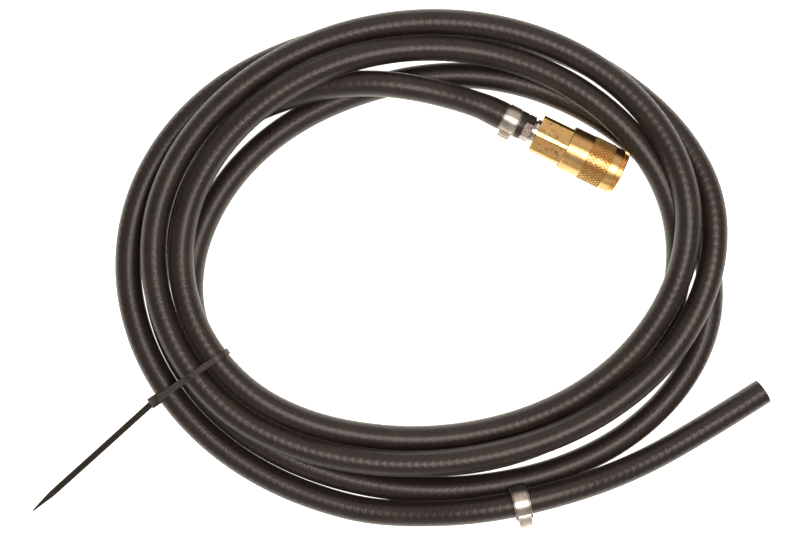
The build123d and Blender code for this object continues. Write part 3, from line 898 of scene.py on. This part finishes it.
def brass_sleeve():
    """The turned shell with its lip and locking cone, the diamonds and the rim's teeth."""
    floor_r = KNURL_R - KNURL_DEPTH
    shell = turned_ring([
        (19.2, 12.1), (19.2, 12.7), (19.5, SLEEVE_R), (KNURL_U[0] - 0.2, SLEEVE_R),
        (KNURL_U[0], floor_r), (KNURL_U[1], floor_r), (KNURL_U[1] + 0.2, SLEEVE_R),
        (50.3, SLEEVE_R), (50.3, 12.2), (50.8, 12.2), (50.8, RIM_R - RIM_TOOTH),
        (53.6, RIM_R - RIM_TOOTH), (54, 12.3), (54, 10.7), (53.8, 10.4),
        (51.8, 10.4), (51.8, 8.9), (50.6, 8.9), (50.6, 9.95), (48.5, 9.95), (44, 9), (36, 9),
        (36, 12.1)], 160)
    ease(shell, 0.08, 30)
    whole = join([shell, diamond_knurl(), rim_teeth()])
    settle(whole, "brass_sleeve", coupler_frame())
    finish_piece(whole, "sleeve", "brass", brass("turned_brass_sleeve", 0.42), "sleeve")


def spring(node, name):
    """The CAD spring's own shape, smooth shaded, on a mesh of its own."""
    metal = bright_metal("drawn_spring_wire", "#8f8f8f", 0.25)
    obj = bpy.data.objects.new(name, frame["nodes"][node].data.copy())
    bpy.context.collection.objects.link(obj)
    close_up(obj, 0.002)
    only(obj)
    bpy.ops.object.shade_smooth()
    finish_piece(obj, ROOT, "spring_steel", metal, node)
    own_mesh(obj)


def balls():
    """The six locking balls, each a cube pushed out to a sphere."""
    steel = bright_metal("ground_bearing_steel", "#b9b9bb", 0.12)
    for k in range(1, 7):
        node = f"locking_ball_{k}"
        low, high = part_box(node)
        deselect()
        bpy.ops.mesh.primitive_cube_add(size=(high.x - low.x) / math.sqrt(3), location=(low + high) / 2)
        ball = bpy.context.object
        edit(ball)
        bpy.ops.mesh.select_all(action="SELECT")
        bpy.ops.mesh.subdivide(number_cuts=7)
        bpy.ops.transform.tosphere(value=1)
        leave_edit()
        bpy.ops.object.shade_smooth()
        settle(ball, f"steel_ball_{k}")
        finish_piece(ball, f"ball_{k}", "ball_steel", steel, node)


def coupler():
    """The pieces made from their CAD solids with eased edges, then the sleeve, balls and springs."""
    turned_brass = brass("turned_brass_body", 0.36)
    hexagon = brass("bar_brass_hexagon", 0.52, (0.14, 0.3))
    pieces = [
        ("coupler_adapter", "brass_hexagon", ROOT, "brass", hexagon, 0.12),
        ("coupler_body", "brass_body", ROOT, "brass", turned_brass, 0.06),
        ("hose_tail", "steel_hose_tail", ROOT, "plated_steel", zinc_steel(), 0.1),
        ("seal_washer", "bright_seal_washer", ROOT, "bright_washer",
         bright_metal("pressed_aluminium_washer", "#dcdad6", 0.2), 0.12),
        ("snap_ring", "wire_snap_ring", ROOT, "spring_steel",
         bright_metal("spring_steel_ring", "#8a8a8c", 0.25), 0.15),
        ("valve", "brass_poppet", "valve", "brass", turned_brass, 0.06),
        ("valve_seal", "poppet_face_seal", "valve", "nitrile", seal_rubber(), 0.08),
        ("plug_seal", "plug_nose_seal", ROOT, "nitrile", seal_rubber(), 0.15),
        ("body_seal", "body_joint_seal", ROOT, "nitrile", seal_rubber(), 0.1),
    ]
    for node, name, body, slot, made, width in pieces:
        finish_piece(eased_copy(node, name, width), body, slot, made, node)
    brass_sleeve()
    balls()
    spring("sleeve_spring", "sleeve_return_spring")
    spring("valve_spring", "poppet_spring")


# ---------------------------------------------------------------- floor, lights and camera
def studio():
    """A light table under the object, a softbox beside the camera, dim walls before and behind."""
    deselect()
    bpy.ops.mesh.primitive_plane_add(size=3, location=(0, 0, -0.0002))
    table = bpy.context.object
    table.name = "light_table"
    made, tree, shader = material("lit_opal_acrylic", Roughness=0.5, Emission_Strength=TABLE_GLOW)
    shader.inputs["Base Color"].default_value = linear("#f4f4f3")
    shader.inputs["Emission Color"].default_value = linear("#fffdf6")
    table.data.materials.append(made)

    world = bpy.data.worlds.new("dim_room")
    bpy.context.scene.world = world
    world.use_nodes = True
    room = world.node_tree.nodes["Background"]
    room.inputs["Color"].default_value = linear("#fff4ec")
    room.inputs["Strength"].default_value = ROOM_GLOW

    for name, place, size, power in LIGHTS:
        deselect()
        bpy.ops.object.light_add(type="AREA", location=place)
        light = bpy.context.object
        light.name = name
        light.data.shape = "RECTANGLE"
        light.data.size, light.data.size_y = size
        light.data.energy = power
        light.data.color = linear("#fff1e6")[:3]
        light.rotation_euler = (-Vector(place)).to_track_quat("-Z", "Y").to_euler()

    camera = bpy.data.cameras.new("overhead_camera")
    camera.lens = CAMERA_LENS
    camera.sensor_width = SENSOR_WIDTH
    holder = bpy.data.objects.new("overhead_camera", camera)
    holder.location = CAMERA_PLACE
    bpy.context.collection.objects.link(holder)
    bpy.context.scene.camera = holder
    bpy.context.scene.view_settings.view_transform = "Standard"


studio()
centre_line = hose()
clamps()
tie(centre_line)
coupler()
